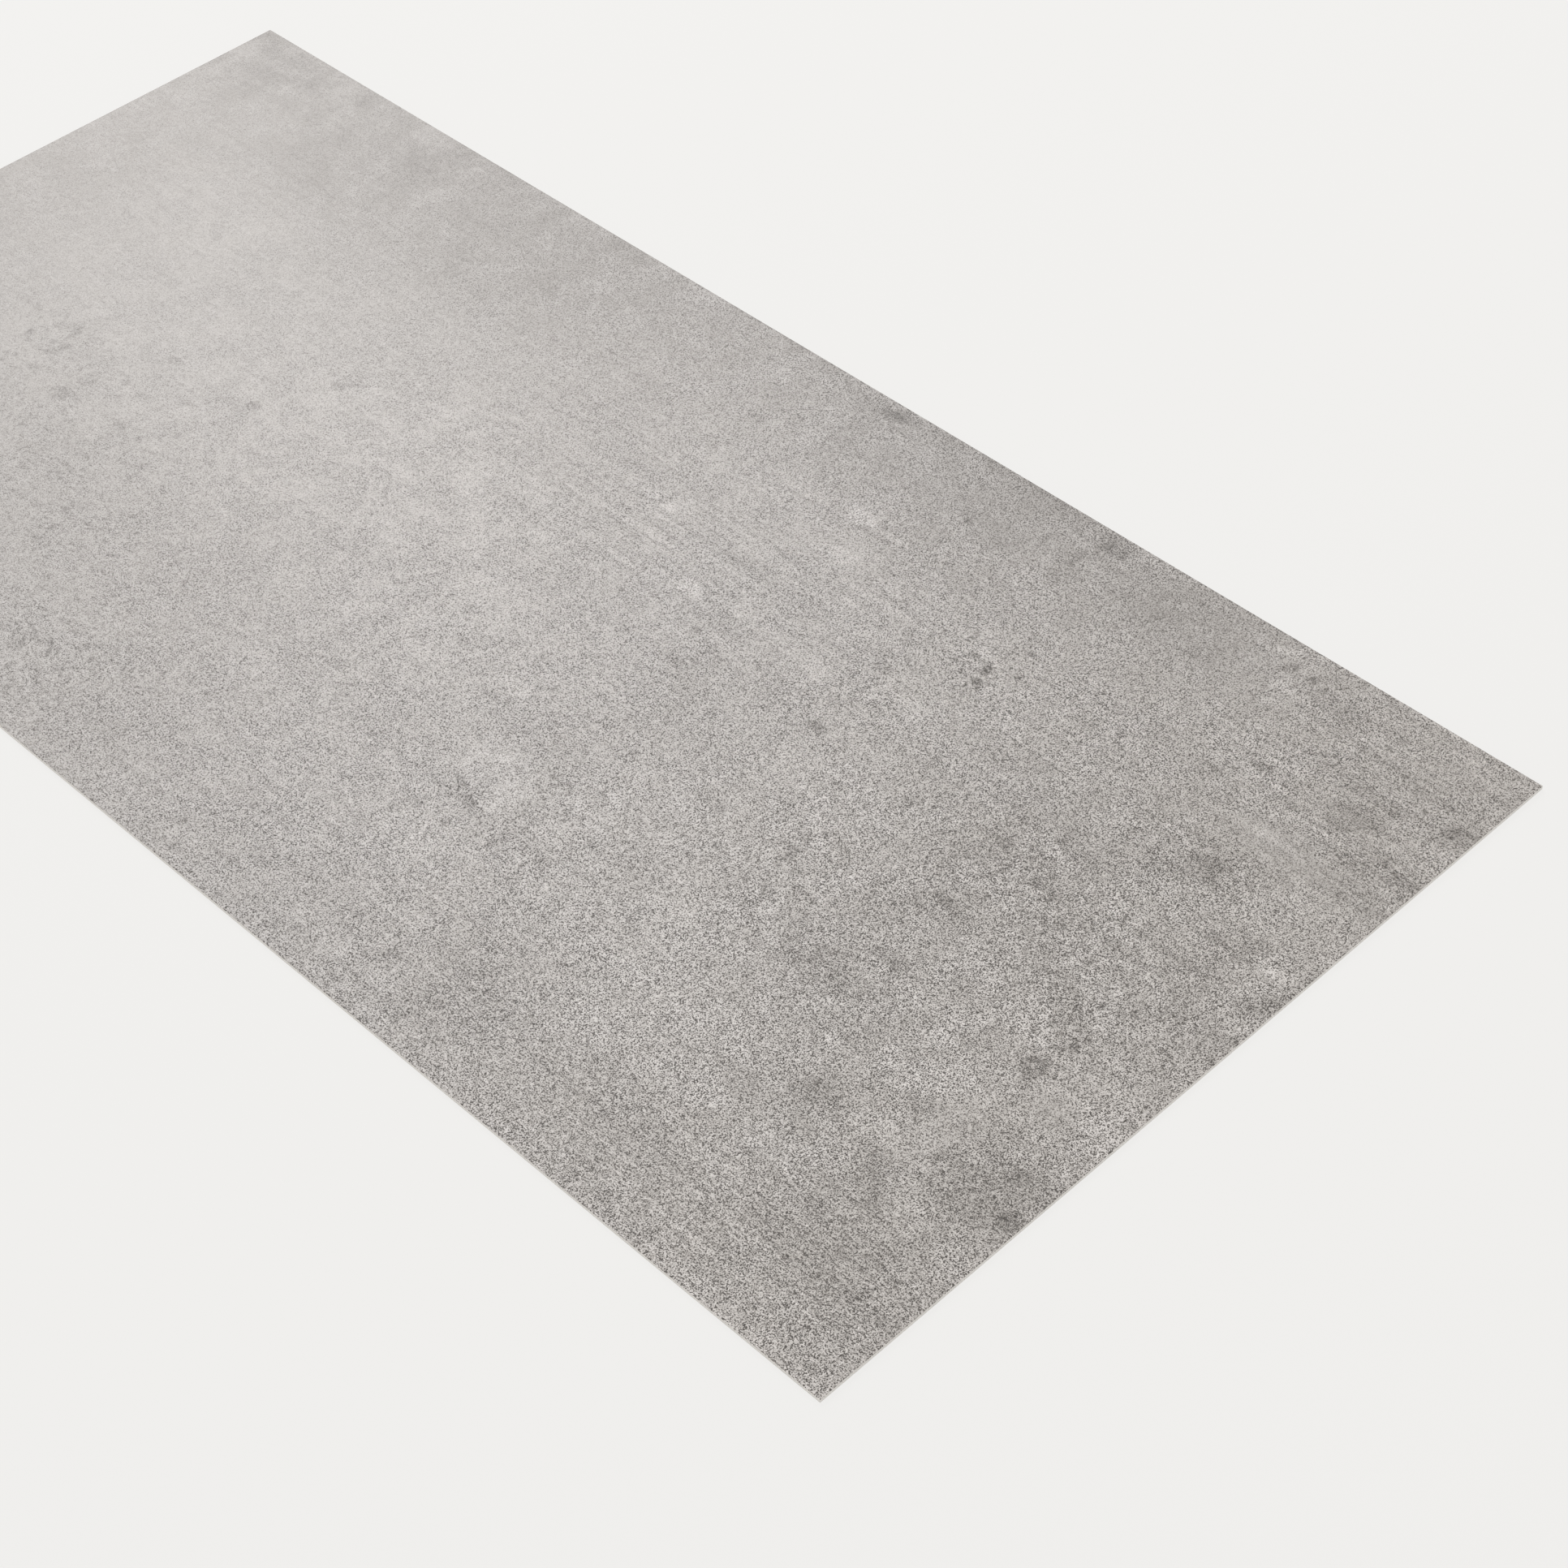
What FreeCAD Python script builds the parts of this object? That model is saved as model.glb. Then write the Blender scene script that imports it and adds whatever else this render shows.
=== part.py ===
import FreeCAD, Part
import Sketcher

import os

# A rectangular glue-down vinyl floor tile, cut from one pressed sheet, in millimetres.
# It lies flat with its wear face up. X runs along its long side and Y along its short
# side, and the origin is the centre of its back.

SIZES = [
    ("tile_length", 914.4, "long side, 36 in"),
    ("tile_width", 457.2, "short side, 18 in"),
    ("tile_thickness", 2.0, "back to wear face"),
    ("arris_radius", 0.25, "rounding where a cut side meets the wear face"),
]


def fill_sheet(doc):
    """The driving sizes, each in a cell with an alias and a word on what it is."""
    sheet = doc.addObject("Spreadsheet::Sheet", "sizes")
    for row, (alias, value, meaning) in enumerate(SIZES, start=1):
        sheet.set(f"A{row}", alias)
        sheet.set(f"B{row}", str(value))
        sheet.set(f"C{row}", meaning)
        sheet.setAlias(f"B{row}", alias)
    doc.recompute()
    return sheet


def base_plane(body, role):
    """One of the body's own origin planes."""
    for feature in body.Origin.OriginFeatures:
        if feature.Role == role:
            return feature
    raise ValueError(f"{body.Label} has no {role}")


def draw_outline(body, sheet):
    """The tile's outline, a rectangle centred on the origin."""
    outline = body.newObject("Sketcher::SketchObject", "tile_outline")
    outline.AttachmentSupport = [(base_plane(body, "XY_Plane"), "")]
    outline.MapMode = "FlatFace"

    half_length = sheet.tile_length / 2
    half_width = sheet.tile_width / 2
    corners = [
        FreeCAD.Vector(-half_length, -half_width, 0),
        FreeCAD.Vector(half_length, -half_width, 0),
        FreeCAD.Vector(half_length, half_width, 0),
        FreeCAD.Vector(-half_length, half_width, 0),
    ]
    front, right, back, left = range(4)
    for corner, following in zip(corners, corners[1:] + corners[:1]):
        outline.addGeometry(Part.LineSegment(corner, following))

    start, end = 1, 2
    for side, following in ((front, right), (right, back), (back, left), (left, front)):
        outline.addConstraint(Sketcher.Constraint("Coincident", side, end, following, start))
    for side in (front, back):
        outline.addConstraint(Sketcher.Constraint("Horizontal", side))
    for side in (right, left):
        outline.addConstraint(Sketcher.Constraint("Vertical", side))
    origin, point = -1, 1
    outline.addConstraint(
        Sketcher.Constraint("Symmetric", front, start, back, start, origin, point)
    )

    length = outline.addConstraint(
        Sketcher.Constraint("DistanceX", front, start, front, end, sheet.tile_length)
    )
    width = outline.addConstraint(
        Sketcher.Constraint("DistanceY", right, start, right, end, sheet.tile_width)
    )
    outline.renameConstraint(length, "length")
    outline.renameConstraint(width, "width")
    outline.setExpression("Constraints.length", "sizes.tile_length")
    outline.setExpression("Constraints.width", "sizes.tile_width")
    return outline


def press_sheet(body, outline):
    """The full thickness of the sheet, up from the back."""
    sheet_stock = body.newObject("PartDesign::Pad", "sheet_stock")
    sheet_stock.Profile = outline
    sheet_stock.setExpression("Length", "sizes.tile_thickness")
    return sheet_stock


def top_face(shape):
    """The name of the flat face that lies highest."""
    heights = [face.CenterOfMass.z for face in shape.Faces]
    return f"Face{heights.index(max(heights)) + 1}"


def ease_arris(body, sheet_stock):
    """The four edges of the wear face, rounded a little. The back's edges stay square."""
    arris = body.newObject("PartDesign::Fillet", "eased_arris")
    arris.Base = (sheet_stock, [top_face(sheet_stock.Shape)])
    arris.setExpression("Radius", "sizes.arris_radius")
    return arris


def make_tile(doc, sheet):
    body = doc.addObject("PartDesign::Body", "vinyl_tile")
    body.Label = "vinyl_tile"
    body.Placement = FreeCAD.Placement()
    outline = draw_outline(body, sheet)
    sheet_stock = press_sheet(body, outline)
    doc.recompute()
    ease_arris(body, sheet_stock)
    doc.recompute()
    return body


def check(doc, pieces):
    """Stops before anything is written if an object failed or a piece isn't one sound solid."""
    for item in doc.Objects:
        if {"Invalid", "Error"} & set(item.State):
            raise RuntimeError(f"{item.Label} failed: {item.State}")
    for piece in pieces:
        shape = piece.Shape
        if shape.isNull() or not shape.isValid() or len(shape.Solids) != 1:
            raise RuntimeError(f"{piece.Label} isn't one sound solid")


def report(pieces):
    for piece in pieces:
        box = piece.Shape.BoundBox
        print(
            f"{piece.Label}: {box.XLength:.2f} x {box.YLength:.2f} x {box.ZLength:.2f} mm,"
            f" from z {box.ZMin:.2f}, {piece.Shape.Volume / 1000:.1f} cm3"
        )


def write(pieces):
    os.makedirs("parts", exist_ok=True)
    for piece in pieces:
        piece.Shape.exportStep(f"parts/{piece.Label}.step")


doc = FreeCAD.newDocument("vinyl_floor_tile")
sheet = fill_sheet(doc)
pieces = [make_tile(doc, sheet)]
check(doc, pieces)
report(pieces)
write(pieces)
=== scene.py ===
import math

import bpy
import numpy as np
from mathutils import Matrix, Vector, noise


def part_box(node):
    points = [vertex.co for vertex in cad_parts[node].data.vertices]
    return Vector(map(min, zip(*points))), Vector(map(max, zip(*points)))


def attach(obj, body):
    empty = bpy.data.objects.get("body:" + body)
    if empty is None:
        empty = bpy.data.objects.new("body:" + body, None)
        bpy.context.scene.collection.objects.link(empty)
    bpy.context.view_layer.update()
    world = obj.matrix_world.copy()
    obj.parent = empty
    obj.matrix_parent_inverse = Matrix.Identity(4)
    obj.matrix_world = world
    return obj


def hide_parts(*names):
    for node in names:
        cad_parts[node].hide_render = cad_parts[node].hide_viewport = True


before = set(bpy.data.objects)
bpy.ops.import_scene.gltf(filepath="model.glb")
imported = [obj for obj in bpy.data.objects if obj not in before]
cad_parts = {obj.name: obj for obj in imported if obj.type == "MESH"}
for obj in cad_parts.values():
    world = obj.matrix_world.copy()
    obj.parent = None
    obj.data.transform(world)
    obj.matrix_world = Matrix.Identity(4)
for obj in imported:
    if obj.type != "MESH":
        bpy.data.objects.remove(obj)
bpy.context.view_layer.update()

# A vinyl floor tile with a concrete print, lying flat with its wear face up. Places on
# the face are in millimetres: x from the left short edge, y from the front long edge.

MM = 0.001
LOW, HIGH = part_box("vinyl_tile")
LENGTH = (HIGH.x - LOW.x) / MM
WIDTH = (HIGH.y - LOW.y) / MM
THICKNESS = (HIGH.z - LOW.z) / MM
ARRIS = 0.25
FRONT_LEFT = np.array([LOW.x, LOW.y, LOW.z])

# Further off than any place on the face.
FAR_OFF = 1e9

# The print's tone is counted in sRGB levels, 0 to 255.
DARKEST_INK = 70
LIGHTEST_INK = 230
LEVEL = 1 / (LIGHTEST_INK - DARKEST_INK)


# Soft patches of the print, and one soft band of painted shade below a tear: x, y, half length,
# half width, lean in degrees, levels.
PALE_CLOUDS = [
    (500, 105, 100, 70, 0, 3),
    (330, 235, 210, 95, 0, 7),
    (165, 360, 130, 50, 0, 3),
    (640, 30, 60, 24, 0, 3),
    (574, 352, 18, 10, 20, 7),
    (541, 288, 12, 5, 0, 7),
    (574, 292, 11, 5, 0, 4),
    (670, 299, 18, 8, -10, 6),
    (622, 286, 12, 7, 0, 4),
    (640, 416, 12, 9, 30, 5),
    (786, 440, 15, 13, 0, 7),
    (852, 346, 30, 9, -4, 10),
    (900, 288, 15, 4, 25, 11),
    (880, 326, 13, 5, 0, 9),
    (862, 300, 12, 5, 10, 6),
    (880, 357, 36, 3, 2, 6),
    (895, 300, 10, 3, 0, 6),
    (663, 237, 20, 11, -15, 5),
    (530, 187, 12, 12, 40, 5),
    (569, 142, 20, 18, 0, 6),
    (569, 82, 18, 20, -30, 6),
    (615, 164, 15, 34, 0, 4),
    (690, 133, 12, 26, 35, 5),
    (857, 128, 11, 28, 6, 6),
    (878, 84, 10, 14, 35, 6),
    (880, 166, 13, 8, 0, 6),
    (841, 110, 16, 10, 20, 5),
    (892, 192, 20, 6, 10, 6),
    (357, 292, 22, 6, 5, 3),
    (125, 325, 60, 34, 0, 3),
    (50, 390, 60, 44, 0, 4),
    (487, 320, 12, 10, 0, 4),
    (425, 110, 18, 10, 20, 4),
    (640, 96, 12, 9, 0, 4),
    (530, 375, 18, 3, 3, 8),
    (735, 221, 25, 10, 0, 3),
    (708, 97, 18, 8, 0, 5),
]
DARK_CLOUDS = [
    (150, 420, 230, 75, 0, -11),
    (700, 390, 110, 60, 0, -3),
    (20, 290, 50, 190, 0, -4),
    (190, 300, 240, 170, 0, -4),
    (890, 240, 110, 220, 0, -5),
    (590, 440, 225, 56, 0, -10),
    (785, 320, 80, 80, 0, -5),
    (795, 195, 105, 145, 0, -3.5),
    (700, 240, 100, 60, 0, -3),
    (800, 130, 56, 60, 0, -5),
    (370, 110, 190, 90, 0, -2),
    (15, 440, 60, 32, 0, -6),
    (230, 466, 260, 26, 0, -7),
    (640, 468, 220, 24, 0, -7),
    (165, 423, 26, 20, 45, -3),
    (288, 368, 27, 10, -20, -4),
    (520, 449, 16, 5, 0, -9),
    (668, 447, 12, 9, 0, -10),
    (730, 428, 44, 22, 0, -3),
    (814, 430, 15, 11, -20, -11),
    (836, 313, 24, 11, 20, -10),
    (789, 280, 15, 9, 20, -10),
    (870, 270, 16, 6, 35, -9),
    (905, 274, 10, 12, 0, -5),
    (882, 288, 20, 8, 20, -11),
    (800, 245, 50, 14, 0, -5),
    (583, 229, 15, 32, 15, -7),
    (757, 157, 24, 9, -8, -11),
    (713, 157, 7, 13, 20, -8),
    (893, 124, 18, 16, -15, -3),
    (851, 94, 15, 7, -45, -9),
    (838, 136, 12, 8, -20, -7),
    # Painted shade: a soft dark band below the torn skin's edge.
    (566, 115, 18, 5, -20, -9),
    (846, 213, 24, 15, 0, -7),
    (905, 408, 9, 8, 0, -7),
    (229, 137, 28, 16, 0, -4),
    (503, 27, 22, 30, 0, -4),
    (361, 128, 18, 28, 0, -3),
    (402, 37, 14, 7, 0, -5),
    (760, 213, 24, 8, 8, -11),
    (722, 207, 16, 8, -10, -5),
    (727, 61, 8, 7, 0, -7),
    (660, 45, 34, 30, 0, -2),
    (898, 367, 18, 6, 0, -11),
    (904, 404, 5, 7, -30, -12),
    (828, 432, 30, 8, 0, -5),
    (870, 362, 34, 3, -3, -5),
    (880, 400, 34, 3, -4, -5),
]

# Marks with a crisp outline: x, y, half length, half width, lean in degrees, levels.
MARKS = [
    (682, 342, 2.8, 4.4, 10, -44),
    (685, 333, 4.4, 3.1, 0, -42),
    (697, 349, 2.4, 2.0, 0, -30),
    (671, 346, 4.8, 1.5, 0, -30),
    (662, 355, 2.2, 3.0, 0, -22),
    (690, 364, 2.8, 2.0, 0, -28),
    (764, 266, 4.6, 4.2, 0, -26),
    (717, 256, 4.8, 3.9, 30, -18),
    (746, 291, 4.0, 3.0, 0, -12),
    (776, 182, 10.5, 5.2, 0, -17),
    (861, 179, 5.8, 5.5, 0, -14),
    (866, 198, 2.8, 3.2, 0, -35),
    (862, 193, 2.4, 1.8, 0, -28),
    (835, 183, 1.9, 4.6, 0, -22),
    (733, 171, 1.8, 5.0, 10, -18),
    (752, 177, 2.4, 4.0, 0, -20),
    (701, 197, 2.3, 3.0, 0, -22),
    (840, 133, 7.4, 5.8, -30, -9),
    (866, 117, 2.4, 4.6, 0, -20),
    (850, 97, 9.0, 4.2, -45, -9),
    (862, 84, 7.0, 3.6, -40, -9),
    (791, 136, 5.0, 1.8, 0, -12),
    (909, 113, 5.0, 6.4, 0, -30),
    (895, 131, 7.0, 4.6, 30, -18),
    (902, 8, 5.2, 2.6, 0, -18),
    (712, 97, 2.6, 1.8, 0, -15),
    (904, 266, 3.0, 2.4, 0, -20),
    (876, 267, 8.0, 4.0, 35, -16),
    (868, 286, 6.0, 3.6, 0, -15),
    (821, 300, 4.2, 3.6, 0, -16),
    (838, 319, 8.0, 4.0, 10, -12),
    (877, 398, 3.0, 2.0, 0, -22),
    (817, 381, 6.2, 2.3, 15, -26),
    (821, 391, 3.6, 1.8, 20, -21),
    (833, 407, 6.0, 2.1, 20, -19),
    (801, 365, 3.6, 1.8, 0, -19),
    (756, 353, 3.2, 2.4, 0, -24),
    (743, 349, 2.8, 1.9, 0, -19),
    (761, 347, 2.6, 1.8, 0, -21),
    (904, 368, 9.0, 2.6, 0, -15),
    (784, 440, 4.6, 3.0, 20, -22),
    (797, 441, 3.2, 3.9, -30, -30),
    (852, 438, 3.0, 2.0, 0, -16),
    (599, 108, 1.8, 3.8, 0, -26),
    (588, 155, 2.7, 1.8, 0, -26),
    (593, 151, 2.3, 1.8, 0, -22),
    (526, 171, 5.0, 3.0, 0, -14),
    (545, 194, 2.2, 3.2, 0, -20),
    (652, 155, 2.8, 1.8, 0, -20),
    (620, 36, 4.2, 1.9, 0, -18),
    (603, 414, 3.4, 1.8, 0, -30),
    (639, 432, 2.2, 3.2, 0, -18),
    (660, 430, 2.2, 8.0, 0, -15),
    (671, 447, 7.0, 4.6, 0, -15),
    (521, 448, 8.6, 3.2, 0, -16),
    (646, 310, 6.0, 4.0, 0, -18),
    (652, 261, 7.0, 3.2, 0, -24),
    (563, 268, 2.0, 4.0, -20, -20),
    (510, 284, 2.8, 1.8, 0, -14),
    (293, 270, 4.6, 3.9, 0, -15),
    (299, 276, 6.9, 1.8, 40, -9),
    (274, 230, 4.8, 4.4, 0, -15),
    (214, 225, 5.3, 3.0, 10, -14),
    (210, 196, 3.0, 2.8, 0, -12),
    (216, 186, 2.5, 2.3, 0, -11),
    (193, 184, 5.8, 5.1, 0, -11),
    (191, 167, 6.7, 5.8, 0, -11),
    (236, 172, 4.4, 3.7, 0, -12),
    (247, 207, 6.9, 1.8, 20, -11),
    (155, 204, 2.8, 8.0, 15, -14),
    (160, 189, 2.8, 9.2, -20, -14),
    (163, 170, 4.6, 2.5, 0, -11),
    (137, 187, 3.7, 3.4, 0, -11),
    (143, 200, 2.5, 2.5, 0, -11),
    (272, 160, 4.6, 2.5, 20, -9),
    (278, 92, 5.1, 4.1, 0, -11),
    (270, 114, 3.7, 2.8, 0, -9),
    (564, 381, 8.6, 5.4, 10, 15),
    (586, 380, 5.0, 3.0, 0, 8),
    (576, 354, 9.0, 5.0, 15, 4),
    (541, 289, 8.6, 3.4, 0, 12),
    (475, 322, 3.4, 3.0, 0, 8),
    (489, 320, 3.7, 3.0, 0, 8),
    (777, 449, 6.9, 3.7, 20, 11),
    (790, 428, 8.0, 3.4, -10, 10),
    (843, 349, 9.2, 3.4, -15, 8),
    (900, 289, 12.0, 2.4, 25, 9),
]

# Patches of the cement's skin with torn outlines, as corner points, and their levels.
TORN_PATCHES = [
    ([(545, 139), (553, 128), (560, 125.5), (567, 123.3), (573, 119.5), (578, 117),
      (585, 119), (590, 124), (590, 147), (577, 152), (560, 149)], 7),
    ([(851, 384), (858, 389.5), (866, 393), (875, 393), (880, 389), (883, 383), (872, 376),
      (866, 371.5), (860, 371.5), (855, 376)], -15),
    ([(895, 263), (899, 271), (905, 277), (916, 285), (916, 271), (909, 264), (902, 259)], -16),
    ([(866, 141), (876, 146), (890, 150), (900, 147), (916, 140), (916, 104), (900, 104),
      (890, 98), (878, 100), (869, 107), (865, 120)], -5),
    ([(846, 158), (843, 138), (848, 122), (846, 106), (856, 96), (872, 78), (886, 74),
      (884, 90), (868, 104), (862, 120), (863, 146), (856, 160)], 4),
]

# Thin lines where the trowel dragged or a skin tore, and one wider band of painted shadow below
# a tear: their points, half width, levels.
DRAG_LINES = [
    # Painted shadow: a faint dark band along the low side of the torn skin's edge.
    ([(553, 124), (562, 121), (571, 117), (577.5, 113.5)], 2.2, -6),
    ([(551, 128.8), (560, 125.2), (567, 123), (573, 119.5), (578.6, 116.6)], 0.8, -26),
    ([(761, 225), (768, 222), (775, 219), (783, 216)], 1.5, -24),
    ([(676, 345), (669, 344), (666, 338), (667, 332), (671, 327)], 1.0, -22),
    ([(866.5, 178.5), (865, 182.5), (861, 184), (857, 182.5), (855.5, 178.5), (857, 174.5),
      (861, 173), (865, 174.5), (866.5, 178.5)], 1.2, -23),
    ([(655, 158), (660, 164), (668, 164), (672, 160)], 0.8, -15),
    ([(824, 146), (836, 144), (844, 137), (847, 129)], 0.9, -15),
    ([(797, 112), (812, 112)], 0.9, -20),
    ([(800, 108), (813, 107)], 0.9, -22),
    ([(803, 104), (815, 103.5)], 0.8, -16),
    ([(511, 369.5), (530, 371), (550, 373), (590, 376)], 0.8, -14),
    ([(560, 289), (590, 287.5), (625, 286)], 0.7, 8),
    ([(465, 298), (510, 298.5)], 0.7, -12),
    ([(483, 307), (518, 307)], 0.8, -14),
    ([(378, 291), (425, 291)], 0.6, -8),
    ([(421, 313), (433, 308)], 0.6, -9),
    ([(845, 421), (880, 419), (914, 418)], 0.7, -10),
    ([(823, 416), (870, 411), (914, 408)], 0.8, 8),
    ([(836, 402), (914, 397)], 0.7, -9),
    ([(850, 352), (880, 350), (914, 347)], 0.7, -12),
    ([(862, 344), (914, 341)], 0.7, -9),
    ([(795, 66), (850, 64), (900, 60)], 0.8, -12),
    ([(830, 46), (880, 44), (912, 45)], 0.8, -12),
    ([(780, 18), (880, 15)], 0.8, -9),
    ([(700, 38), (780, 35)], 0.8, -8),
    ([(640, 24), (684, 20)], 0.8, -10),
    ([(649, 296), (650, 276), (652, 256)], 0.7, -8),
]

# Where the ground has a look of its own: x, y, half length, half width, share.
GROUNDS = {
    "pebbled": [
        (350, 50, 60, 55, 0.9),
        (235, 115, 95, 62, 0.8),
        (160, 185, 50, 40, 0.7),
        (885, 232, 40, 26, 1.0),
        (850, 212, 36, 26, 0.9),
        (700, 190, 60, 50, 0.5),
        (680, 335, 34, 26, 0.45),
        (790, 250, 70, 30, 0.7),
        (620, 140, 50, 40, 0.4),
        (790, 435, 30, 20, 0.7),
        (470, 150, 70, 60, 0.2),
    ],
    "streaky": [
        (872, 385, 90, 70, 1.0),
        (500, 310, 130, 60, 0.8),
        (830, 275, 110, 30, 0.5),
        (830, 40, 110, 45, 0.6),
        (600, 60, 120, 50, 0.4),
        (200, 330, 160, 90, 0.2),
        (110, 400, 130, 60, 0.2),
        (760, 330, 80, 60, 0.4),
        (650, 350, 120, 40, 0.7),
    ],
    "pitted": [
        (850, 210, 50, 34, 1.0),
        (770, 160, 46, 20, 0.8),
        (852, 94, 20, 16, 0.9),
        (892, 122, 28, 26, 0.5),
        (832, 312, 40, 18, 1.0),
        (790, 252, 60, 26, 0.9),
        (900, 262, 24, 24, 1.0),
        (878, 242, 40, 18, 0.9),
        (756, 350, 34, 12, 0.7),
        (676, 338, 26, 24, 0.4),
        (556, 105, 30, 15, 0.9),
        (588, 158, 22, 22, 0.7),
        (660, 46, 40, 40, 0.8),
        (655, 290, 36, 44, 0.5),
        (700, 190, 40, 50, 0.5),
        (540, 200, 50, 40, 0.4),
        (630, 95, 40, 36, 0.4),
        (905, 366, 22, 8, 0.7),
        (861, 179, 8, 8, 1.0),
        (762, 213, 30, 14, 0.9),
        (909, 113, 9, 9, 1.0),
        (165, 185, 70, 70, 0.6),
        (360, 300, 40, 20, 0.6),
        (490, 380, 40, 24, 0.6),
    ],
    "dashed": [
        (870, 48, 62, 34, 1.0),
        (770, 30, 110, 34, 0.7),
        (895, 116, 26, 26, 0.9),
        (660, 40, 46, 36, 0.7),
        (895, 368, 34, 10, 1.0),
        (861, 179, 8, 8, 1.0),
        (862, 84, 20, 14, 0.8),
        (880, 412, 44, 26, 0.6),
        (806, 108, 14, 10, 0.9),
        (760, 158, 34, 16, 0.5),
    ],
    "smooth": [
        (735, 430, 62, 30, 0.8),
        (856, 122, 12, 34, 0.6),
        (862, 347, 46, 12, 0.8),
        (569, 142, 20, 18, 0.4),
        (880, 166, 14, 8, 0.7),
        (867, 382, 13, 9, 0.3),
        (745, 295, 40, 20, 0.3),
        (700, 395, 50, 30, 0.3),
        (800, 85, 25, 20, 0.4),
        (620, 430, 90, 26, 0.4),
    ],
}


def linear(hex_colour):
    """An sRGB hex colour as the linear RGBA that the shaders take."""
    channels = [int(hex_colour[i : i + 2], 16) / 255 for i in (1, 3, 5)]
    straight = [c / 12.92 if c <= 0.04045 else ((c + 0.055) / 1.055) ** 2.4 for c in channels]
    return (*straight, 1.0)


def add(tree, kind, inputs=None, **settings):
    """Adds one node with its settings. A socket among its inputs is linked, a value is set."""
    new = tree.nodes.new(kind)
    for name, value in settings.items():
        setattr(new, name, value)
    for name, value in (inputs or {}).items():
        if isinstance(value, bpy.types.NodeSocket):
            tree.links.new(value, new.inputs[name])
        else:
            new.inputs[name].default_value = value
    return new


# What the press and the print put where on the face

def uneven(x, y, lump, layer):
    """Smooth random unevenness, about -1 to 1, in lumps of that size in mm. Each layer
    number gives an unevenness of its own."""
    layer_gap = 37.7
    places = zip((x / lump).tolist(), (y / lump).tolist())
    return np.array([noise.noise((u, v, layer * layer_gap)) for u, v in places])


def wander(x, y):
    """The same places, pushed about by up to some millimetres, so that no patch is an oval."""
    broad, fine = 24, 6
    far, near = 6, 2.4
    shifted_x = x + far * uneven(x, y, broad, 1) + near * uneven(x, y, fine, 2)
    shifted_y = y + far * uneven(x, y, broad, 3) + near * uneven(x, y, fine, 4)
    return shifted_x, shifted_y


def turned(x, y, mid_x, mid_y, half_length, half_width, lean):
    """Places measured along and across an oval patch, 1 at its rim."""
    c, s = math.cos(math.radians(lean)), math.sin(math.radians(lean))
    along = (x - mid_x) * c + (y - mid_y) * s
    across = (y - mid_y) * c - (x - mid_x) * s
    return along / half_length, across / half_width


def soft_patches(x, y, patches):
    """The tone that soft patches add, in levels, fading out over their own size."""
    falloff = 1.6
    tone = np.zeros_like(x)
    for *oval, levels in patches:
        along, across = turned(x, y, *oval)
        tone += levels * np.exp(-((along**2 + across**2) ** falloff))
    return tone


def cover(x, y, patches):
    """How much of the ground is of a kind, 0 to 1."""
    falloff = 1.5
    share = np.zeros_like(x)
    for mid_x, mid_y, half_length, half_width, most in patches:
        along, across = turned(x, y, mid_x, mid_y, half_length, half_width, 0)
        share = np.maximum(share, most * np.exp(-((along**2 + across**2) ** falloff)))
    return share


def inside_outline(x, y, corners):
    """Distance in mm to a closed outline, above nought inside it."""
    nearest = np.full_like(x, FAR_OFF)
    within = np.zeros(x.shape, bool)
    for (ax, ay), (bx, by) in zip(corners, corners[1:] + corners[:1]):
        run_x, run_y = bx - ax, by - ay
        part = ((x - ax) * run_x + (y - ay) * run_y) / (run_x**2 + run_y**2)
        part = part.clip(0, 1)
        gap = np.hypot(x - ax - part * run_x, y - ay - part * run_y)
        nearest = np.minimum(nearest, gap)
        if ay != by:
            crossing = ax + (y - ay) / (by - ay) * run_x
            within ^= ((ay > y) != (by > y)) & (x < crossing)
    return np.where(within, nearest, -nearest)


def nearest_of(outlines):
    """For each place the nearest outline: how far inside it in mm, and its levels."""
    far_outside = -9.0
    depth_in = np.full_like(outlines[0][0], far_outside)
    levels = np.zeros_like(depth_in)
    for inside, tone in outlines:
        nearer = inside > depth_in
        depth_in[nearer] = inside[nearer]
        levels[nearer] = tone
    return depth_in, levels


def crisp_marks(x, y):
    """How far inside the nearest crisp mark each place is, and that mark's levels."""
    outlines = []
    for *oval, tone in MARKS:
        along, across = turned(x, y, *oval)
        half_length, half_width = oval[2:4]
        inside = (1 - np.hypot(along, across)) * min(half_length, half_width)
        outlines.append((inside, tone))
    return nearest_of(outlines)


def torn_patches(x, y):
    """How far inside the nearest torn patch each place is, and that patch's levels."""
    outlines = [(inside_outline(x, y, corners), tone) for corners, tone in TORN_PATCHES]
    return nearest_of(outlines)


def drag_lines(x, y):
    """For each place the nearest line: how many half widths to its side, how far in from
    its nearer end in mm, and its levels."""
    past_end = 9
    nearest = np.full_like(x, FAR_OFF)
    across_line = np.zeros_like(x)
    from_end = np.full_like(x, -past_end)
    levels = np.zeros_like(x)
    for points, half_width, tone in DRAG_LINES:
        length = sum(math.dist(a, b) for a, b in zip(points, points[1:]))
        passed = 0.0
        for number, ((ax, ay), (bx, by)) in enumerate(zip(points, points[1:])):
            run = math.dist((ax, ay), (bx, by))
            run_x, run_y = (bx - ax) / run, (by - ay) / run
            along = (x - ax) * run_x + (y - ay) * run_y
            side = (y - ay) * run_x - (x - ax) * run_y
            beyond = along - along.clip(0, run)
            gap = np.hypot(side, beyond)
            lowest = -past_end if number == 0 else 0
            highest = run + past_end if number == len(points) - 2 else run
            along = along.clip(lowest, highest)
            nearer = gap < nearest
            nearest[nearer] = gap[nearer]
            across_line[nearer] = (np.copysign(gap, side) / half_width)[nearer]
            from_end[nearer] = np.minimum(passed + along, length - passed - along)[nearer]
            levels[nearer] = tone
            passed += run
    return across_line, from_end, levels


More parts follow.
